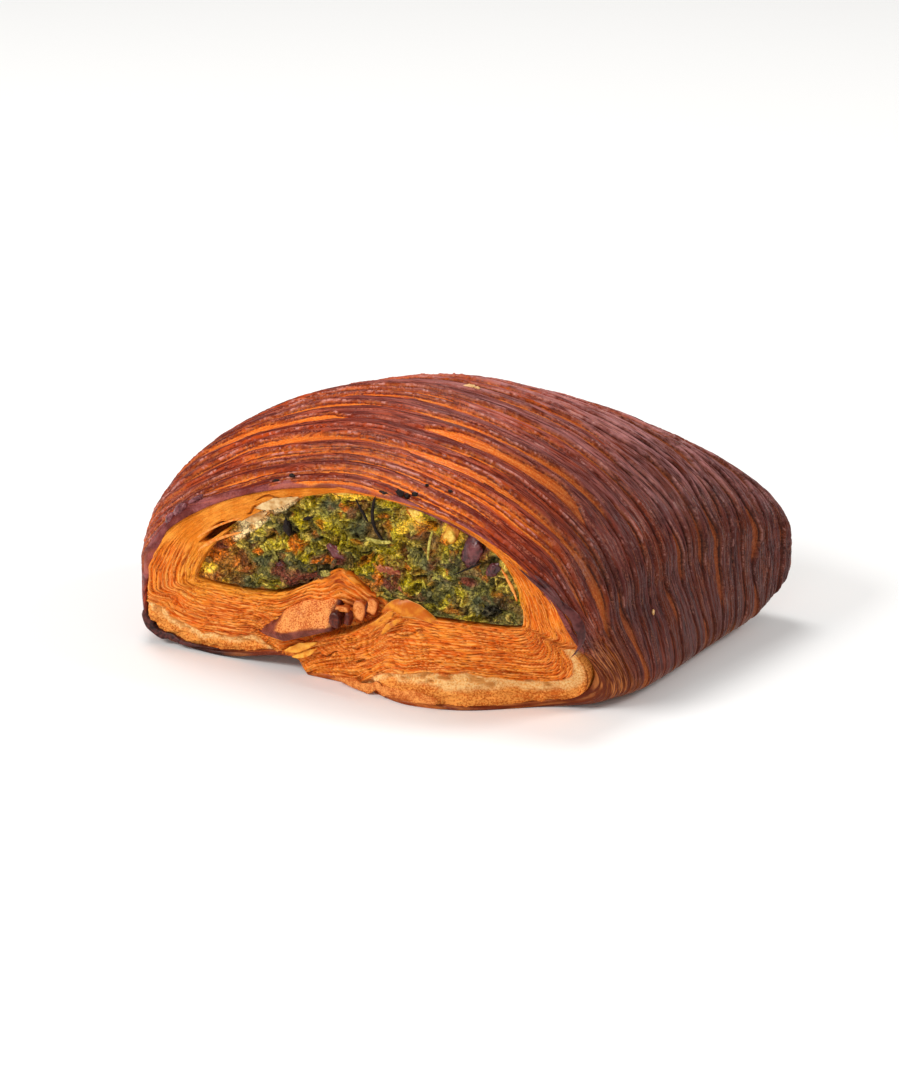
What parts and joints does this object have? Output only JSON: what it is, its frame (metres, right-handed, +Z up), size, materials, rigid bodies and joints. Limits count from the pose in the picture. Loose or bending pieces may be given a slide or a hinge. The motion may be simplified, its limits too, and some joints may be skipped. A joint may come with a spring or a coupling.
{
  "type": "spinach feta pastry",
  "caption": "Pillow-shaped roll of ridged laminated dough, baked dark, open at both ends where layered dough wraps a spinach and feta filling.",
  "frame": {"origin": "centre of the bounding box on the surface that the pastry stands on", "axes": "+X across the open ends, +Y along the roll from its near open end to its far one, +Z up"},
  "size_m": [0.1218, 0.0888, 0.0547],
  "materials": {
    "crust": "glazed flaky baked crust, dark brown on its ridges and golden on its layered ends",
    "filling": "moist baked spinach and cheese mash with leaf, cheese and onion pieces"
  },
  "bodies": {
    "root": {"pastry": "crust", "filling": "filling"}
  },
  "joints": []
}
